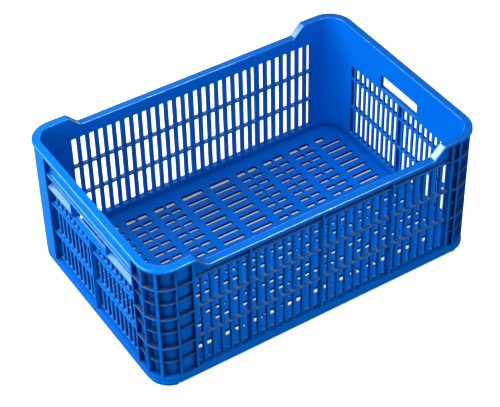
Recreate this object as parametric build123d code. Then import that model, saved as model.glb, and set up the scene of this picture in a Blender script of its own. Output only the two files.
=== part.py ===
"""Open-top vented stacking crate, 600 x 400 x 246 mm.

Millimetres. Origin at the centre of the bottom of the crate, X along the
length, Y along the width, Z up. Front is -Y, left is -X.
The crate is a single moulding; each node below is one region of it, cut at
the plane where that region ends, so the nodes meet face to face. Heights in
the size list are above the underside of the base; everything is raised by
PAD_H at the end, because the crate stands on its four corner pads.
"""
import os

from build123d import *

# ---------------------------------------------------------------- sizes (mm)
RIM_L, RIM_W, RIM_R = 600.0, 400.0, 44.0      # outer outline of the rim
IN_L, IN_W, IN_R = 572.0, 372.0, 30.0         # inner outline of rim and walls
SKIN_T = 3.0                                  # wall skin thickness
RIB_L, RIB_W, RIB_R = 594.0, 394.0, 41.0      # reach of deep ribs
WEAK_L, WEAK_W, WEAK_R = 590.0, 390.0, 39.0   # reach of shallow post ribs
FLA_L, FLA_W, FLA_R = 593.0, 395.0, 41.0      # base flange
LIP_L, LIP_W, LIP_R = 595.0, 397.0, 42.0      # base lip
FOOT_L, FOOT_W, FOOT_R = 588.0, 388.0, 38.0   # foot ring, outside
FOOT_T = 11.0                                 # foot ring width
PAD_H = 6.0                                   # corner pads under the foot ring
PAD_X, PAD_Y = 262.0, 162.0                   # inner ends of the corner pads

Z_FOOT = 5.0          # underside of the floor panel and walls
Z_PANEL = 3.0         # underside of the floor inside the foot ring
Z_GRID = 1.0          # underside of the floor grid
Z_LIP = 1.5           # underside of the base lip
Z_FLOOR = 8.0         # top of the floor
Z_FLANGE = 16.0       # top of the base flange
Z_TOP = 240.0         # raised rim, both ends and the corners
Z_LOW = 220.0         # lowered rim of the long sides
X_STEP = 224.0        # outer end of the rim step (45 degrees)
STEP_FILLET = 5.0     # rounding of the step in side view
RIM_T = 4.0           # rim flange thickness
RIM_LIP_T = 3.0       # thickness of the hanging outer lip
RIM_LIP_H = 2.0       # how far the lip hangs below the flange
RIM_FILLET_OUT = 1.9
RIM_FILLET_IN = 1.2

STRONG_Z = (199.0, 138.5, 78.0)   # tops of the strong horizontal ribs
WEAK_Z = (168.5, 109.0, 47.0)     # tops of the shallow horizontal ribs
STRONG_T, WEAK_T = 3.0, 2.2

# long walls
PITCH = 16.2
N_SLOT = 29
X_SLOT0 = -218.7
SLOT_W, SLOT_R = 9.5, 1.3
LONG_ROWS = ((17.5, 75.0), (78.0, 135.5), (138.5, 196.0))
BAR_W, BAR_T = 6.0, 2.5
RAIL_T = 5.5
DEEP_X = (-129.6, 0.0, 129.6)
DEEP_T = 4.0
POST_X_LEFT, POST_X_RIGHT = -228.0, 243.0     # ribs that close the posts
POST_RIB_T = 4.5
PLAIN_T, PLAIN_Y = 1.2, 184.0                 # smooth panel of the left-hand back post
PANEL_X, PANEL_Y = 250.0, 150.0               # half widths of the flat panels

# end walls
END_PITCH = 13.4
N_END = 20
END_SLOT_W, END_SLOT_R = 8.2, 1.5
END_ROWS = ((19.0, 75.0), (78.0, 135.5), (138.5, 164.0))
END_HALF = 133.0                              # inner face of the post rib
END_RIB_T = 4.0
END_RAIL_OUT = 4.8
GRIP_W, GRIP_Z0, GRIP_Z1, GRIP_R = 98.0, 168.2, 196.0, 2.0
SHELF_T = 3.0
GRIP_RIB_Y = 55.0
GRIP_RIB_T = 3.0

# floor
ROW_PITCH = 19.1
GROUP_PITCH = 54.8
GROUP_W = 40.5
FLOOR_SLOT_H, FLOOR_SLOT_H_END = 7.2, 9.6

SX, SY = IN_L / 2, IN_W / 2                   # inner faces of the walls
OX, OY = SX + SKIN_T, SY + SKIN_T             # outer faces of the skin
BIG = 400.0


# ------------------------------------------------------------------- helpers
def box(x0, x1, y0, y1, z0, z1):
    return Pos((x0 + x1) / 2, (y0 + y1) / 2, (z0 + z1) / 2) * Box(
        abs(x1 - x0), abs(y1 - y0), abs(z1 - z0)
    )


def prism(l, w, r, z0, z1):
    return extrude(Pos(0, 0, z0) * RectangleRounded(l, w, r), z1 - z0)


def ring(outer, inner, z0, z1):
    f = RectangleRounded(*outer) - RectangleRounded(*inner)
    return extrude(Pos(0, 0, z0) * f, z1 - z0)


def only(shape):
    s = shape.solids()
    assert len(s) == 1, f"{len(s)} solids"
    return s[0]


def common(a, b):
    r = a.intersect(b)
    s = r.solids() if hasattr(r, "solids") else [x for i in r for x in i.solids()]
    return s[0] if len(s) == 1 else Compound(children=list(s))


def fused(first, *rest):
    return only(first.fuse(*rest).clean()) if rest else only(first)


SKIN = (IN_L + 2 * SKIN_T, IN_W + 2 * SKIN_T, IN_R + SKIN_T)
RIB = (RIB_L, RIB_W, RIB_R)
WEAK = (WEAK_L, WEAK_W, WEAK_R)


def above(dz):
    """Everything over the top surface of the rim lowered by dz."""
    x1 = X_STEP
    x0 = X_STEP - (Z_TOP - Z_LOW)
    top, low, cap = Z_TOP - dz, Z_LOW - dz, 300.0
    pts = [(-BIG, top), (-x1, top), (-x0, low), (x0, low), (x1, top),
           (BIG, top), (BIG, cap), (-BIG, cap)]
    f = make_face(Polyline(*pts, close=True))
    corners = [v for v in f.vertices() if abs(abs(v.X) - x1) < 0.01
               or abs(abs(v.X) - x0) < 0.01]
    f = fillet(corners, STEP_FILLET)
    return extrude(Plane.XZ * f, 220, both=True)


ABOVE_RIM = above(0.0)
UNDER_RIM = above(RIM_T)
UNDER_LIP = above(RIM_T + RIM_LIP_H)

nodes = {}

# --------------------------------------------------------------------- floor
slots = []
for k in range(-8, 9):
    h = FLOOR_SLOT_H_END if abs(k) == 8 else FLOOR_SLOT_H
    y = ROW_PITCH * k
    for g in range(5):
        for s in (-1, 1):
            xc = s * GROUP_PITCH * (g + 0.5)
            if g in (0, 4) and not (g == 4 and abs(k) == 8):
                spans = [(xc, GROUP_W)]
            elif g == 4:
                spans = [(s * (GROUP_PITCH * 4.5 - GROUP_W / 2 + 9.15), 18.3)]
            else:
                spans = [(xc - 11.1, 18.3), (xc + 11.1, 18.3)]
            for x, w in spans:
                slots.append((Pos(x, y) * RectangleRounded(w, h, 1.6)).face().outer_wire())
floor_face = Face(RectangleRounded(IN_L, IN_W, IN_R).face().outer_wire(), slots)
foot_in = (FOOT_L - 2 * FOOT_T, FOOT_W - 2 * FOOT_T, FOOT_R - FOOT_T)
under_face = Face(RectangleRounded(*foot_in).face().outer_wire(), slots)
nodes["floor_panel"] = fused(
    Pos(0, 0, Z_FOOT) * extrude(floor_face, Z_FLOOR - Z_FOOT, dir=(0, 0, 1)),
    Pos(0, 0, Z_PANEL) * extrude(under_face, Z_FOOT - Z_PANEL, dir=(0, 0, 1)),
)

inside_foot = prism(*foot_in, Z_GRID, Z_PANEL)
bars = [box(GROUP_PITCH * k - 1, GROUP_PITCH * k + 1, -200, 200, Z_GRID, Z_PANEL) for k in range(-5, 6)]
bars += [box(-300, 300, s * ROW_PITCH * (m + 0.5) - 1, s * ROW_PITCH * (m + 0.5) + 1, Z_GRID, Z_PANEL)
         for m in (0, 2, 4, 6, 8) for s in (-1, 1)]
nodes["floor_grid"] = only(common(bars[0].fuse(*bars[1:]), inside_foot))
nodes["foot_ring"] = only(ring((FOOT_L, FOOT_W, FOOT_R), foot_in, 0, Z_FOOT))
pads = ring((FOOT_L, FOOT_W, FOOT_R), foot_in, -PAD_H, 0)
for sx, tx in ((-1, "left"), (1, "right")):
    for sy, ty in ((-1, "front"), (1, "back")):
        quad = box(*sorted((sx * PAD_X, sx * 320)), *sorted((sy * PAD_Y, sy * 220)), -20, 20)
        nodes[f"foot_pad_{tx}_{ty}"] = only(common(pads, quad))
nodes["base_lip"] = only(ring((LIP_L, LIP_W, LIP_R), (FOOT_L, FOOT_W, FOOT_R), Z_LIP, Z_FOOT))
nodes["base_flange"] = only(ring((FLA_L, FLA_W, FLA_R), SKIN, Z_FOOT, Z_FLANGE))

# ---------------------------------------------------------------- long walls
front_plane = Plane(origin=(0, -SY, 0), x_dir=(1, 0, 0), z_dir=(0, -1, 0))
holes = []
for i in range(N_SLOT):
    for z0, z1 in LONG_ROWS:
        holes.append((Pos(X_SLOT0 + PITCH * i, (z0 + z1) / 2)
                      * RectangleRounded(SLOT_W, z1 - z0, SLOT_R)).face().outer_wire())
panel = (Pos(0, (Z_FOOT + Z_TOP) / 2) * Rectangle(2 * PANEL_X, Z_TOP - Z_FOOT)).face()
panel = extrude(front_plane * Face(panel.outer_wire(), holes), SKIN_T, dir=(0, -1, 0))
panel = panel.cut(UNDER_RIM)
wall_bars = []
for k in range(-13, 15):
    if k in (-8, 0, 8):
        continue
    for z0, z1 in ((Z_FLANGE, 75.0), (78.0, 135.5), (138.5, 196.0)):
        wall_bars.append(box(PITCH * k - BAR_W / 2, PITCH * k + BAR_W / 2, -OY - BAR_T, -OY, z0, z1))
wall_front = fused(panel, *wall_bars)

rail_x0 = POST_X_LEFT + POST_RIB_T / 2
rail_x1 = POST_X_RIGHT - POST_RIB_T / 2
rails = [box(rail_x0, rail_x1, -OY - RAIL_T, -OY, z - STRONG_T, z) for z in STRONG_Z]
rib_shell = ring(RIB, SKIN, Z_FLANGE, Z_TOP)
deep = []
for x in DEEP_X:
    b = box(x - DEEP_T / 2, x + DEEP_T / 2, -220, -OY, Z_FLANGE, Z_LOW - RIM_T)
    b = common(b, rib_shell)
    deep.append(only(b.cut(*rails)))

for side, m in (("front", False), ("back", True)):
    def put(name, s):
        nodes[name] = s.mirror(Plane.XZ) if m else s
    put(f"wall_{side}", wall_front)
    for tag, r in zip(("top", "mid", "low"), rails):
        put(f"rail_{side}_{tag}", only(r))
    for tag, d in zip(("left", "centre", "right"), deep):
        put(f"deep_rib_{side}_{tag}", d)

# ----------------------------------------------------------------- end walls
right_plane = Plane(origin=(SX, 0, 0), x_dir=(0, 1, 0), z_dir=(1, 0, 0))
holes = []
for i in range(N_END):
    y = END_PITCH * (i - (N_END - 1) / 2)
    for z0, z1 in END_ROWS:
        holes.append((Pos(y, (z0 + z1) / 2)
                      * RectangleRounded(END_SLOT_W, z1 - z0, END_SLOT_R)).face().outer_wire())
holes.append((Pos(0, (GRIP_Z0 + GRIP_Z1) / 2)
              * RectangleRounded(GRIP_W, GRIP_Z1 - GRIP_Z0, GRIP_R)).face().outer_wire())
z_under = Z_TOP - RIM_T
panel = (Pos(0, (Z_FOOT + z_under) / 2) * Rectangle(2 * PANEL_Y, z_under - Z_FOOT)).face()
wall_right = only(extrude(right_plane * Face(panel.outer_wire(), holes), SKIN_T, dir=(1, 0, 0)))

rail_a = box(OX, OX + END_RAIL_OUT, -END_HALF, END_HALF, 135.5, 138.5)
rail_b = box(OX, OX + END_RAIL_OUT, -END_HALF, END_HALF, 75.0, 78.0)
z_shelf = GRIP_Z0 - SHELF_T
mid = common(box(OX, 320, -DEEP_T / 2, DEEP_T / 2, Z_FLANGE, z_shelf), rib_shell)
mid = only(mid.cut(rail_a, rail_b))


def xz_prism(line_pts, y0, y1):
    f = make_face(Polyline(*line_pts, close=True))
    return Pos(0, (y0 + y1) / 2, 0) * extrude(Plane.XZ * f, (y1 - y0) / 2, both=True)


# grip band: shelf under a hollow rounding that runs up into the wall
band_face = make_face(
    Polyline((OX, 205.0), (OX, 196.0), (OX + 7.5, 196.0), (OX + 7.5, 198.4),
             (OX + 6.0, 199.0), (OX + 3.6, 199.4))
    + ThreePointArc((OX + 3.6, 199.4), (OX + 0.979, 201.670), (OX, 205.0))
)
band = fused(extrude(Plane.XZ * band_face, END_HALF, both=True))
shelf_face = make_face(
    Polyline((OX, -53.5), (OX + 6.5, -53.5)) + ThreePointArc((OX + 6.5, -53.5), (OX + 7.4, 0), (OX + 6.5, 53.5))
    + Polyline((OX + 6.5, 53.5), (OX, 53.5), (OX, -53.5))
)
shelf = only(extrude(Pos(0, 0, z_shelf) * shelf_face, SHELF_T))
ledge = only(xz_prism(((OX, 169.5), (OX, 176.5), (OX + 7.3, 172.5), (OX + 7.3, 169.5)),
                      GRIP_RIB_Y + GRIP_RIB_T / 2, END_HALF))
grip_rib = only(box(OX, OX + 7.5, GRIP_RIB_Y - GRIP_RIB_T / 2, GRIP_RIB_Y + GRIP_RIB_T / 2, z_shelf, 196.0))

for side, m in (("right", False), ("left", True)):
    def put(name, s):
        nodes[name] = s.mirror(Plane.YZ) if m else s
    put(f"wall_{side}", wall_right)
    put(f"end_rail_{side}_upper", only(rail_a))
    put(f"end_rail_{side}_lower", only(rail_b))
    put(f"end_rib_{side}", mid)
    put(f"grip_band_{side}", band)
    put(f"grip_shelf_{side}", shelf)
    put(f"grip_rib_{side}_back", grip_rib)
    put(f"grip_rib_{side}_front", grip_rib.mirror(Plane.XZ))
    put(f"grip_ledge_{side}_back", ledge)
    put(f"grip_ledge_{side}_front", ledge.mirror(Plane.XZ))

# -------------------------------------------------------------- corner posts
skin_ring = ring(SKIN, (IN_L, IN_W, IN_R), Z_FOOT, z_under)
rib_zone = ring(RIB, SKIN, Z_FLANGE, z_under)
weak_zone = ring(WEAK, SKIN, Z_FLANGE, z_under)
post = only(common(skin_ring, box(PANEL_X, 320, PANEL_Y, 220, 0, 260)))
ax, ay = SX - IN_R, SY - IN_R                 # centre of the corner arcs
apex = Pos(ax, ay, (Z_FLANGE + z_under) / 2) * Rot(0, 0, 45) * Pos(30, 0, 0) * Box(60, 5, z_under - Z_FLANGE)


def post_ribs(xb):
    """Ribs of one post for x > 0, y > 0; xb is the inner face of the post."""
    quad = box(xb, 320, END_HALF, 220, Z_FLANGE, z_under)
    verticals = [
        box(xb, xb + POST_RIB_T, OY - 1, 220, Z_FLANGE, z_under),
        box(255.5, 258.5, OY - 1, 220, Z_FLANGE, z_under),
        apex,
        box(OX - 1, 320, 161.5, 164.5, Z_FLANGE, z_under),
        box(OX - 1, 320, END_HALF, END_HALF + END_RIB_T, Z_FLANGE, z_under),
    ]
    strong = [common(rib_zone, box(xb, 320, END_HALF, 220, z - STRONG_T, z)) for z in STRONG_Z]
    weak = [common(weak_zone, box(xb, 320, END_HALF, 220, z - WEAK_T, z)) for z in WEAK_Z]
    up = common(common(verticals[0].fuse(*verticals[1:]), rib_zone), quad)
    up = up.cut(UNDER_RIM)
    parts = [*up.solids(), *[s for r in strong + weak for s in r.solids()]]
    return only(parts[0].fuse(*parts[1:]).clean())


ribs_r = post_ribs(rail_x1)
ribs_l = post_ribs(-rail_x0).mirror(Plane.YZ)
post_l = post.mirror(Plane.YZ)
# the end side of the left-hand back post is closed by a smooth panel
plain = ring((RIB_L + 2 * PLAIN_T, RIB_W + 2 * PLAIN_T, RIB_R + PLAIN_T), RIB, Z_FLANGE, z_under - RIM_LIP_H)
nodes["post_panel_left_back"] = only(
    common(plain, box(-320, -262, END_HALF, PLAIN_Y, Z_FLANGE, z_under - RIM_LIP_H))
)
for name, s in (("right_back", post), ("left_back", post_l)):
    nodes[f"corner_post_{name}"] = s
    nodes[f"corner_post_{name.replace('back', 'front')}"] = s.mirror(Plane.XZ)
for name, s in (("right_back", ribs_r), ("left_back", ribs_l)):
    nodes[f"corner_ribs_{name}"] = s
    nodes[f"corner_ribs_{name.replace('back', 'front')}"] = s.mirror(Plane.XZ)

# ----------------------------------------------------------------------- rim
outer, inner = (RIM_L, RIM_W, RIM_R), (IN_L, IN_W, IN_R)
lip_in = (RIM_L - 2 * RIM_LIP_T, RIM_W - 2 * RIM_LIP_T, RIM_R - RIM_LIP_T)
flange = common(ring(outer, inner, 200, 260), UNDER_RIM).cut(ABOVE_RIM)
hang = common(ring(outer, lip_in, 200, 260), UNDER_LIP).cut(UNDER_RIM)
rim = only(flange.fuse(hang).clean())


def off(p, l, w, r):
    """Signed distance of a point from a rounded outline."""
    qx, qy = abs(p.X) - (l / 2 - r), abs(p.Y) - (w / 2 - r)
    far = (max(qx, 0) ** 2 + max(qy, 0) ** 2) ** 0.5
    return far + min(max(qx, qy), 0) - r


def top_at(x):
    return min(Z_TOP, max(Z_LOW, Z_TOP - (X_STEP - abs(x))))


def top_edges(shape, outline):
    out = []
    for e in shape.edges():
        p = e.position_at(0.5)
        if abs(off(p, *outline)) < 0.05 and abs(p.Z - top_at(p.X)) < 1.2:
            out.append(e)
    return out


rim = only(rim.fillet(RIM_FILLET_OUT, top_edges(rim, outer)))
rim = only(rim.fillet(RIM_FILLET_IN, top_edges(rim, inner)))
for side, s in (("left", -1), ("right", 1)):
    a, b = sorted((s * 228.0, s * 320.0))
    nodes[f"rim_end_{side}"] = only(common(rim, box(a, b, -220, 220, 200, 260)))
    a, b = sorted((s * 200.0, s * 228.0))
    nodes[f"rim_step_{side}_front"] = only(common(rim, box(a, b, -220, 0, 200, 260)))
    nodes[f"rim_step_{side}_back"] = only(common(rim, box(a, b, 0, 220, 200, 260)))
nodes["rim_low_front"] = only(common(rim, box(-200, 200, -220, 0, 200, 260)))
nodes["rim_low_back"] = only(common(rim, box(-200, 200, 0, 220, 200, 260)))

# --------------------------------------------------------------------- write
os.makedirs("parts", exist_ok=True)
total = 0.0
for name in sorted(nodes):
    s = only(Pos(0, 0, PAD_H) * nodes[name])
    assert s.is_valid, name
    total += s.volume
    export_step(s, f"parts/{name}.step")
print(len(nodes), "nodes", round(total / 1000), "cm3")
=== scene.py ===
import bpy, bmesh, math
from mathutils import Matrix, Vector
from mathutils.bvhtree import BVHTree


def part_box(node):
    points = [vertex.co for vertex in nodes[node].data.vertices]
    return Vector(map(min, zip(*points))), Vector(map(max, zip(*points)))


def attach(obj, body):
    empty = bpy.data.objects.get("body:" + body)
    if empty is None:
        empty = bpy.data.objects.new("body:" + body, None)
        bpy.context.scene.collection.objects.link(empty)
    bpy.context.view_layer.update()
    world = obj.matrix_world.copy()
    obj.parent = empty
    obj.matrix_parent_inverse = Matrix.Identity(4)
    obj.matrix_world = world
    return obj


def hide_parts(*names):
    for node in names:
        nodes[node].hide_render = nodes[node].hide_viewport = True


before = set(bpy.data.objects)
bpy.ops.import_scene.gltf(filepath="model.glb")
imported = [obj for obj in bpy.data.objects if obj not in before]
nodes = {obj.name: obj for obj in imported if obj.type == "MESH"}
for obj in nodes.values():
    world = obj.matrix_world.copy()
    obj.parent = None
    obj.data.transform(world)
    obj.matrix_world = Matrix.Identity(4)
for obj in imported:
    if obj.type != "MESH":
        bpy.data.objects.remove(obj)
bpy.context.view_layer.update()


# ------------------------------------------------------------------ materials
def new_mat(name):
    m = bpy.data.materials.new(name)
    m.use_nodes = True
    nt = m.node_tree
    for n in list(nt.nodes):
        nt.nodes.remove(n)
    out = nt.nodes.new("ShaderNodeOutputMaterial")
    b = nt.nodes.new("ShaderNodeBsdfPrincipled")
    nt.links.new(b.outputs["BSDF"], out.inputs["Surface"])
    return m, nt, b


def math_node(nt, op, a, b=None, clamp=False):
    n = nt.nodes.new("ShaderNodeMath")
    n.operation = op
    n.use_clamp = clamp
    for i, v in enumerate((a, b)):
        if v is None:
            continue
        if isinstance(v, (int, float)):
            n.inputs[i].default_value = v
        else:
            nt.links.new(v, n.inputs[i])
    return n.outputs[0]


def ramp(nt, v, a, b, c0=0.0, c1=1.0):
    n = nt.nodes.new("ShaderNodeMapRange")
    n.clamp = True
    n.inputs["From Min"].default_value = a
    n.inputs["From Max"].default_value = b
    n.inputs["To Min"].default_value = c0
    n.inputs["To Max"].default_value = c1
    nt.links.new(v, n.inputs["Value"])
    return n.outputs["Result"]


def noise(nt, vec, scale, detail=2.0, rough=0.5):
    n = nt.nodes.new("ShaderNodeTexNoise")
    n.inputs["Scale"].default_value = scale
    n.inputs["Detail"].default_value = detail
    n.inputs["Roughness"].default_value = rough
    nt.links.new(vec, n.inputs["Vector"])
    return n.outputs["Fac"]


def mix_rgb(nt, fac, a, b, mode="MIX"):
    n = nt.nodes.new("ShaderNodeMix")
    n.data_type = "RGBA"
    n.blend_type = mode
    n.clamp_factor = True
    if isinstance(fac, (int, float)):
        n.inputs[0].default_value = fac
    else:
        nt.links.new(fac, n.inputs[0])
    for i, v in ((6, a), (7, b)):
        if isinstance(v, (tuple, list)):
            n.inputs[i].default_value = (*v, 1.0)
        else:
            nt.links.new(v, n.inputs[i])
    return n.outputs[2]


BLUE = (0.0, 0.124, 0.58)
BLUE_DEEP = (0.0, 0.110, 0.53)
BLUE_LIGHT = (0.0, 0.144, 0.64)
# pale colour for faces turned upwards: partly dust, partly painted sheen
DUST_AND_SHEEN = (0.34, 0.42, 0.62)


# dark blue that the painted shade mixes towards
PAINTED_SHADE = (0.0, 0.016, 0.10)


def plastic(name, dust_and_sheen=0.0, rough=0.34, dust_and_sheen_rgb=DUST_AND_SHEEN, painted_light=0.0, slot_axis=None, spec=0.25, tint=(0.05, 0.50, 1.0),
            coat=0.0, reach=0.016, shade_from=0.22, shade_end=0.86, outer=None,
            slot_dark=0.80):
    m, nt, b = new_mat(name)
    tc = nt.nodes.new("ShaderNodeTexCoord")
    pos = tc.outputs["Object"]
    geo = nt.nodes.new("ShaderNodeNewGeometry")
    sep = nt.nodes.new("ShaderNodeSeparateXYZ")
    nt.links.new(geo.outputs["Normal"], sep.inputs[0])
    up = sep.outputs["Z"]

    cloud = noise(nt, pos, 5.0, 3.0, 0.55)          # slow colour drift of the pigment
    fleck = noise(nt, pos, 240.0, 3.0, 0.6)         # flow marks about 4 mm
    grain = noise(nt, pos, 1600.0, 2.0, 0.6)        # sparked tool grain below 1 mm
    scuff_map = nt.nodes.new("ShaderNodeMapping")
    scuff_map.inputs["Scale"].default_value = (14.0, 190.0, 120.0)
    scuff_map.inputs["Rotation"].default_value = (0.12, 0.07, 0.35)
    nt.links.new(pos, scuff_map.inputs["Vector"])
    scuff = noise(nt, scuff_map.outputs[0], 1.0, 5.0, 0.72)
    scuff = ramp(nt, scuff, 0.60, 0.74)

    col = mix_rgb(nt, ramp(nt, cloud, 0.3, 0.7), BLUE_DEEP, BLUE)
    col = mix_rgb(nt, ramp(nt, fleck, 0.45, 0.75, 0.0, 0.16), col, BLUE_LIGHT)
    col = mix_rgb(nt, math_node(nt, "MULTIPLY", scuff, 0.10), col, (0.004, 0.24, 0.78))
    # painted light: the whole part is lightened towards a brighter blue, as if lit more strongly
    if painted_light:
        col = mix_rgb(nt, painted_light, col, (0.0, 0.185, 0.74))
    # paler colour on faces turned upwards: partly settled dust, partly a painted sheen where the lights reflect
    if dust_and_sheen:
        f = ramp(nt, up, 0.55, 0.97, 0.0, dust_and_sheen)
        f = math_node(nt, "MULTIPLY", f, ramp(nt, noise(nt, pos, 70.0, 3.0, 0.6), 0.25, 0.7, 0.62, 1.0))
        col = mix_rgb(nt, f, col, dust_and_sheen_rgb)
    # painted shade: the colour darkens by ambient occlusion in inner corners, under ribs and inside slots
    def painted_shade_of(dist, lo, hi):
        ao = nt.nodes.new("ShaderNodeAmbientOcclusion")
        ao.samples = 6
        ao.inputs["Distance"].default_value = dist
        return ramp(nt, ao.outputs["AO"], lo, hi, 0.92, 0.0)

    painted_shade = painted_shade_of(reach, shade_from, shade_end)
    if outer:
        # more painted shade on faces that look outwards, between the ladder ribs, most on faces turned to the ends
        at = nt.nodes.new("ShaderNodeSeparateXYZ")
        nt.links.new(pos, at.inputs[0])
        out = math_node(nt, "ADD", math_node(nt, "MULTIPLY", sep.outputs["X"], at.outputs["X"]),
                        math_node(nt, "MULTIPLY", sep.outputs["Y"], at.outputs["Y"]))
        k = ramp(nt, math_node(nt, "ABSOLUTE", sep.outputs["X"]), 0.45, 0.95, 1.0, 2.8)
        more = math_node(nt, "MULTIPLY", painted_shade_of(*outer), k, clamp=True)
        more = math_node(nt, "MULTIPLY", more, ramp(nt, out, 0.0, 0.05))
        painted_shade = math_node(nt, "MAXIMUM", painted_shade, more)
    col = mix_rgb(nt, painted_shade, col, PAINTED_SHADE)
    # painted shade on the side faces of slots, picked by their normal
    if slot_axis:
        side = math_node(nt, "ABSOLUTE", sep.outputs[slot_axis])
        lo, hi, f = (0.5, 0.2, 0.97) if slot_axis == "Z" else (0.6, 0.9, slot_dark)
        col = mix_rgb(nt, ramp(nt, side, lo, hi, 0.0, f), col, PAINTED_SHADE)
    nt.links.new(col, b.inputs["Base Color"])
    r = math_node(nt, "ADD", rough - 0.06, math_node(nt, "MULTIPLY", fleck, 0.09))
    r = math_node(nt, "ADD", r, math_node(nt, "MULTIPLY", scuff, 0.10))
    nt.links.new(r, b.inputs["Roughness"])
    b.inputs["IOR"].default_value = 1.49
    b.inputs["Coat Weight"].default_value = coat
    b.inputs["Coat Roughness"].default_value = 0.10
    b.inputs["Specular IOR Level"].default_value = spec
    b.inputs["Specular Tint"].default_value = (*tint, 1.0)
    bump = nt.nodes.new("ShaderNodeBump")
    bump.inputs["Strength"].default_value = 0.10
    bump.inputs["Distance"].default_value = 0.0004
    h = math_node(nt, "ADD", math_node(nt, "MULTIPLY", grain, 0.5), math_node(nt, "MULTIPLY", fleck, 0.5))
    nt.links.new(h, bump.inputs["Height"])
    nt.links.new(bump.outputs["Normal"], b.inputs["Normal"])
    return m


# Lit and shaded copies of one plastic: rim, rim_left, left_end, end_wall and band are lightened by painted light,
# rim_left and left_end most, for the light from the left; back_wall and right_wall carry less painted shade in their
# slots and a teal painted highlight on their sills; the lavender on ledge is painted reflection; post and skin carry
# the most painted shade.
MAT = {
    "clean": plastic("crate_blue"),
    "rim": plastic("crate_blue_rim", rough=0.22, painted_light=0.12, spec=0.9, tint=(0.45, 0.80, 1.0), coat=0.35),
    "rim_left": plastic("crate_blue_rim_left", rough=0.22, painted_light=0.50, spec=0.9, tint=(0.20, 0.80, 1.0), coat=0.35),
    "floor": plastic("crate_blue_floor", slot_axis="Z"),
    "long_wall": plastic("crate_blue_long_wall", dust_and_sheen=0.9, dust_and_sheen_rgb=(0.11, 0.15, 0.18), slot_axis="X"),
    "end_wall": plastic("crate_blue_end_wall", dust_and_sheen=0.8, dust_and_sheen_rgb=(0.20, 0.27, 0.40), slot_axis="Y", painted_light=0.25),
    "rail": plastic("crate_blue_rail", dust_and_sheen=0.8, dust_and_sheen_rgb=(0.14, 0.22, 0.32), shade_from=0.30),
    "left_end": plastic("crate_blue_left_end", painted_light=0.60),
    "back_wall": plastic("crate_blue_back_wall", dust_and_sheen=0.9, dust_and_sheen_rgb=(0.03, 0.26, 0.52), slot_axis="X", slot_dark=0.35),
    "right_wall": plastic("crate_blue_right_wall", dust_and_sheen=0.8, dust_and_sheen_rgb=(0.06, 0.28, 0.56), slot_axis="Y", slot_dark=0.35),
    "post": plastic("crate_blue_post", dust_and_sheen=0.9, dust_and_sheen_rgb=(0.20, 0.26, 0.28), reach=0.030, shade_from=0.50, shade_end=0.94),
    "skin": plastic("crate_blue_skin", outer=(0.040, 0.50, 1.0)),
    "band": plastic("crate_blue_band", rough=0.24, painted_light=0.25, spec=0.6, coat=0.3),
    "ledge": plastic("crate_blue_ledge", dust_and_sheen=0.85, dust_and_sheen_rgb=(0.22, 0.31, 0.62)),
}
KEYS = (("wall_front", "long_wall"), ("wall_back", "back_wall"), ("corner_ribs", "post"), ("corner_post", "skin"), ("grip_band", "band"),
        ("wall_left", "end_wall"), ("wall_right", "right_wall"), ("grip_ledge", "ledge"),
        ("rail_front", "rail"), ("rail_back", "rail"), ("end_rail_left", "left_end"), ("end_rib_left", "left_end"), ("grip_rib_left", "left_end"),
        ("grip_shelf_left", "left_end"), ("post_panel_left", "left_end"), ("rim_end_left", "rim_left"), ("rim_", "rim"), ("floor_panel", "floor"))

for name, o in nodes.items():
    key = next((k for p, k in KEYS if name.startswith(p)), "clean")
    o.data.materials.clear()
    o.data.materials.append(MAT[key])


# -------------------------------------------------------------- rounded edges
# A moulding has no knife edges. Each region gets a copy whose free edges are
# rounded; an edge that lies on a neighbouring region stays sharp, so the seams
# between regions don't show.
def welded(me):
    bm = bmesh.new()
    bm.from_mesh(me)
    bmesh.ops.remove_doubles(bm, verts=bm.verts[:], dist=1e-6)
    return bm


solid = {n: welded(o.data) for n, o in nodes.items()}
tree = {n: BVHTree.FromBMesh(bm) for n, bm in solid.items()}
span = {n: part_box(n) for n in nodes}


def touches(p, names):
    for m in names:
        lo, hi = span[m]
        if all(lo[i] - 5e-5 <= p[i] <= hi[i] + 5e-5 for i in range(3)):
            if tree[m].find_nearest(p, 4e-5)[0] is not None:
                return True
    return False


def free_edges(name, bm):
    lo, hi = span[name]
    near = [m for m in nodes if m != name
            and all(span[m][0][i] - 1e-4 <= hi[i] and lo[i] - 1e-4 <= span[m][1][i] for i in range(3))]
    out = []
    for e in bm.edges:
        if len(e.link_faces) != 2 or e.calc_face_angle_signed(0.0) < math.radians(32):
            continue
        a, b = e.verts[0].co, e.verts[1].co
        k = max(3, min(25, int((b - a).length / 0.004)))
        n_hit = sum(touches(a.lerp(b, (i + 0.5) / k), near) for i in range(k))
        if n_hit <= 0.3 * k:
            out.append(e)
    return out


def sound(name, bm, width):
    """True when no face of the rounded copy leaves the solid's surface or faces the wrong way."""
    for f in bm.faces:
        if f.calc_area() < 2e-7:
            continue
        p = f.calc_center_median()
        q, n, i, gap = tree[name].find_nearest(p)
        if gap > 1.2 * width:
            return False
        if n.dot(f.normal) < 0.1 and tree[name].find_nearest(p + f.normal * width)[3] < 0.2 * width:
            return False
        if n.dot(f.normal) < -0.5:
            return False
    return True


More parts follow.
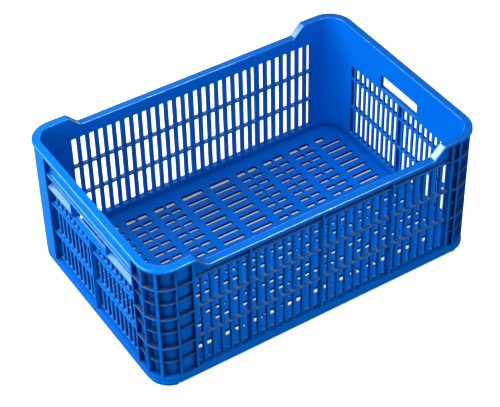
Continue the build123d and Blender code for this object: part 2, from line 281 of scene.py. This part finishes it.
def soften(name, width, merge=True, segments=2):
    bm = solid[name].copy()
    if merge:
        bmesh.ops.dissolve_limit(bm, angle_limit=math.radians(0.4), use_dissolve_boundaries=False,
                                 verts=bm.verts[:], edges=bm.edges[:], delimit=set())
    else:
        bmesh.ops.join_triangles(bm, faces=bm.faces[:], angle_face_threshold=math.radians(0.4),
                                 angle_shape_threshold=math.radians(180))
    edges = free_edges(name, bm)
    if not edges:
        bm.free()
        return True
    bmesh.ops.bevel(bm, geom=edges, offset=width, offset_type="OFFSET", segments=segments, profile=0.5,
                    affect="EDGES", clamp_overlap=False, loop_slide=True)
    bmesh.ops.triangulate(bm, faces=bm.faces[:], quad_method="BEAUTY", ngon_method="BEAUTY")
    bm.normal_update()
    if not sound(name, bm, width):
        bm.free()
        return False
    for f in bm.faces:
        f.smooth = True
    for e in bm.edges:
        e.smooth = len(e.link_faces) == 2 and e.calc_face_angle(0.0) < math.radians(40)
    me = bpy.data.meshes.new("soft_" + name)
    bm.to_mesh(me)
    bm.free()
    me.materials.append(nodes[name].data.materials[0])
    o = bpy.data.objects.new("soft_" + name, me)
    bpy.context.collection.objects.link(o)
    wn = o.modifiers.new("weighted_normals", "WEIGHTED_NORMAL")
    wn.keep_sharp = True
    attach(o, "root")
    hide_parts(name)
    return True


FINE = ("corner_ribs", "floor_grid", "grip_band")
for name in sorted(nodes):
    if name.startswith(("wall_", "floor_panel", "corner_post")):
        continue
    if name.startswith("rim_"):
        widths = (0.0016, 0.0012, 0.0008, 0.0005)
    elif name.startswith("post_panel"):
        widths = (0.0003,)
    elif name.startswith(FINE):
        widths = (0.0005, 0.0004, 0.0003)
    else:
        widths = (0.0008, 0.0006, 0.0005)
    order = (False, True) if name == "base_flange" else (True, False)
    tries = [(w, m) for w in widths for m in order]
    used = next((t for t in tries if soften(name, *t)), None)
    print("rounded", name, used)
for bm in solid.values():
    bm.free()


# ---------------------------------------------------------------------- stage
def plane(name, z, rgb0, rgb1):
    me = bpy.data.meshes.new(name)
    me.from_pydata([(-9, -9, z), (9, -9, z), (9, 9, z), (-9, 9, z)], [], [(0, 1, 2, 3)])
    o = bpy.data.objects.new(name, me)
    bpy.context.collection.objects.link(o)
    m, nt, b = new_mat(name)
    tc = nt.nodes.new("ShaderNodeTexCoord")
    c = mix_rgb(nt, noise(nt, tc.outputs["Object"], 3.0, 2.0), rgb0, rgb1)
    nt.links.new(c, b.inputs["Base Color"])
    b.inputs["Roughness"].default_value = 0.9
    b.inputs["Specular IOR Level"].default_value = 0.1
    me.materials.append(m)
    return o, nt, b, tc.outputs["Object"]


# The seen floor is a white sweep that glows evenly, like a lit table; under the
# crate its glow is cut to a painted shadow, darker towards the back. The one just under it
# is what the crate sees, so the white does not wash out the shaded sides.
seen, nt, b, pos = plane("studio_floor", 0.0, (0.80, 0.80, 0.80), (0.82, 0.82, 0.82))
sep = nt.nodes.new("ShaderNodeSeparateXYZ")
nt.links.new(pos, sep.inputs[0])
dx = math_node(nt, "SUBTRACT", math_node(nt, "ABSOLUTE", sep.outputs["X"]), 0.284)
dy = math_node(nt, "SUBTRACT", math_node(nt, "ABSOLUTE", sep.outputs["Y"]), 0.184)
away = math_node(nt, "MAXIMUM", dx, dy)
b.inputs["Emission Color"].default_value = (1, 1, 1, 1)
# painted shadow under the crate: glow 0.66 at the front, 0.30 at the back
under = ramp(nt, sep.outputs["Y"], -0.12, 0.16, 0.66, 0.30)
lit = ramp(nt, away, -0.012, 0.012)
glow = math_node(nt, "ADD", math_node(nt, "MULTIPLY", lit, 0.84),
                 math_node(nt, "MULTIPLY", math_node(nt, "SUBTRACT", 1.0, lit), under))
nt.links.new(glow, b.inputs["Emission Strength"])
seen.visible_diffuse = False
seen.visible_glossy = False
seen.visible_shadow = False
bounce = plane("studio_floor_bounce", -0.001, (0.06, 0.06, 0.06), (0.065, 0.065, 0.065))[0]
bounce.visible_camera = False


def softbox(name, pos, target, size, power, along=(1, 0, 0)):
    """A rectangular light at pos facing target; its width lies along a direction."""
    l = bpy.data.lights.new(name, "AREA")
    l.shape = "RECTANGLE"
    l.size, l.size_y = size
    l.energy = power
    o = bpy.data.objects.new(name, l)
    bpy.context.collection.objects.link(o)
    z = (Vector(pos) - Vector(target)).normalized()
    x = (Vector(along) - z * Vector(along).dot(z)).normalized()
    m = Matrix((x, z.cross(x), z)).transposed().to_4x4()
    m.translation = pos
    o.matrix_world = m
    return o


softbox("key_left", (-1.0, 0.35, 1.6), (-0.05, 0.0, 0.1), (1.3, 1.1), 18.5, (0, 1, 0))
softbox("left_mid", (-1.9, 0.2, 1.0), (-0.1, 0.0, 0.12), (0.9, 0.7), 48.0, (0, 1, 0))
softbox("low_front", (-0.3, -2.2, 0.40), (0.0, -0.2, 0.12), (1.8, 0.6), 28.0)
softbox("front_steep", (0.1, -1.1, 1.9), (0.0, 0.0, 0.1), (1.2, 0.7), 14.0)
softbox("left_back", (-0.97, 0.95, 1.15), (-0.30, 0.0, 0.246), (0.9, 0.6), 15.0, (0.5, 0, 0.5))
# low fills for the two far sides, which the first view does not show
softbox("fill_back", (0.5, 2.1, 0.55), (0.0, 0.2, 0.12), (1.6, 0.7), 18.0)
softbox("fill_right", (2.1, 0.6, 0.50), (0.3, 0.0, 0.12), (1.2, 0.6), 24.0, (0, 1, 0))
# two narrow lights that only draw the thin glints along rounded edges
for name, pos, target, size, power, along in (
        ("strip_front", (0.57, -0.76, 1.57), (-0.10, -0.20, 0.23), (0.55, 0.16), 36.0, (1, 0, 0)),
        ("strip_left", (-0.97, 0.95, 1.15), (-0.30, 0.0, 0.246), (0.9, 0.14), 10.0, (0, 1, 0))):
    softbox(name, pos, target, size, power, along).visible_diffuse = False

w = bpy.data.worlds.new("studio")
bpy.context.scene.world = w
w.use_nodes = True
bg = w.node_tree.nodes.get("Background")
bg.inputs["Color"].default_value = (1, 1, 1, 1)
bg.inputs["Strength"].default_value = 0.03

# --------------------------------------------------------------------- camera
az, el, roll = -0.557587881, 0.728327301, -0.022907903
dist, f_px = 2.54405619, 1602.0
T = Vector((-0.0245597, -0.0277217, 0.1264188))
d = Vector((math.sin(az) * math.cos(el), -math.cos(az) * math.cos(el), math.sin(el)))
C = T + d * dist
fwd = -d
right = fwd.cross(Vector((0, 0, 1))).normalized()
up = right.cross(fwd)
r2 = right * math.cos(roll) + up * math.sin(roll)
u2 = -right * math.sin(roll) + up * math.cos(roll)
cam_data = bpy.data.cameras.new("camera")
cam = bpy.data.objects.new("camera", cam_data)
bpy.context.collection.objects.link(cam)
M = Matrix((r2, u2, d)).transposed().to_4x4()
M.translation = C
cam.matrix_world = M
cam_data.sensor_fit = "HORIZONTAL"
cam_data.sensor_width = 36.0
cam_data.lens = f_px / 500.0 * 36.0
cam_data.clip_start, cam_data.clip_end = 0.05, 60.0
bpy.context.scene.camera = cam

vs = bpy.context.scene.view_settings
vs.view_transform = "Standard"
vs.look = "None"
vs.exposure = 0.0
vs.gamma = 1.0
